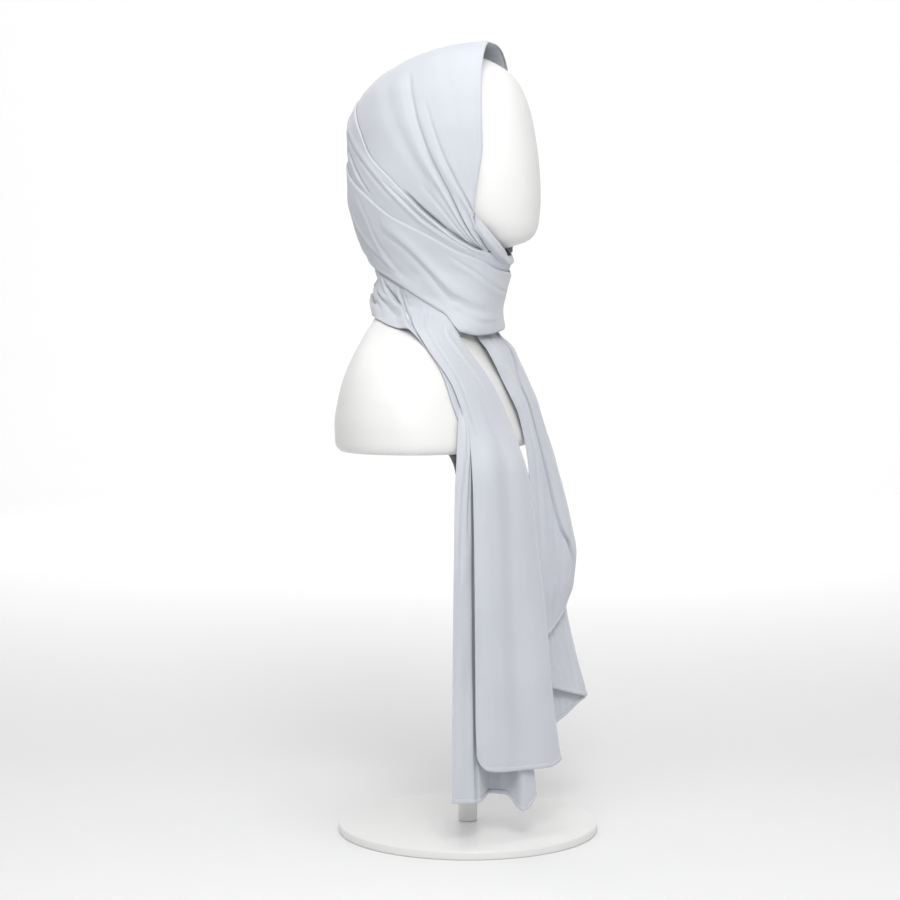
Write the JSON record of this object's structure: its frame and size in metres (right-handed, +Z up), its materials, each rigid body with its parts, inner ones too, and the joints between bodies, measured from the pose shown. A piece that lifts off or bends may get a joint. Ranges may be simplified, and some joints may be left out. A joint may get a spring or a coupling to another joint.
{
  "type": "hijab headscarf on a head-and-shoulders display form",
  "caption": "Pale grey-blue hijab wound over a plain head-and-shoulders display form on a post, with long hanging tails; a display piece for a shop, market or wardrobe scene.",
  "frame": {"origin": "middle of the base plate's underside, on the post's axis", "axes": "+Z up, the face looks along -Y, the side with the near tail is -X"},
  "size_m": [0.3536, 0.3, 0.905],
  "materials": {
    "scarf_cloth": "soft matte crepe",
    "form_shell": "smooth satin white",
    "dark_wood": "dark stained, satin",
    "stand_paint": "white, satin"
  },
  "bodies": {
    "root": {"hood": "scarf_cloth", "chin_fold": "scarf_cloth", "band_upper": "scarf_cloth", "near_band": "scarf_cloth", "far_band": "scarf_cloth", "nape_wrap": "scarf_cloth", "near_tail_front": "scarf_cloth", "near_tail_back": "scarf_cloth", "far_tail_front": "scarf_cloth", "far_tail_back": "scarf_cloth", "far_tail_corner": "scarf_cloth", "display_form": "form_shell", "post_collar": "dark_wood", "post": "stand_paint", "base_plate": "stand_paint"}
  },
  "joints": []
}
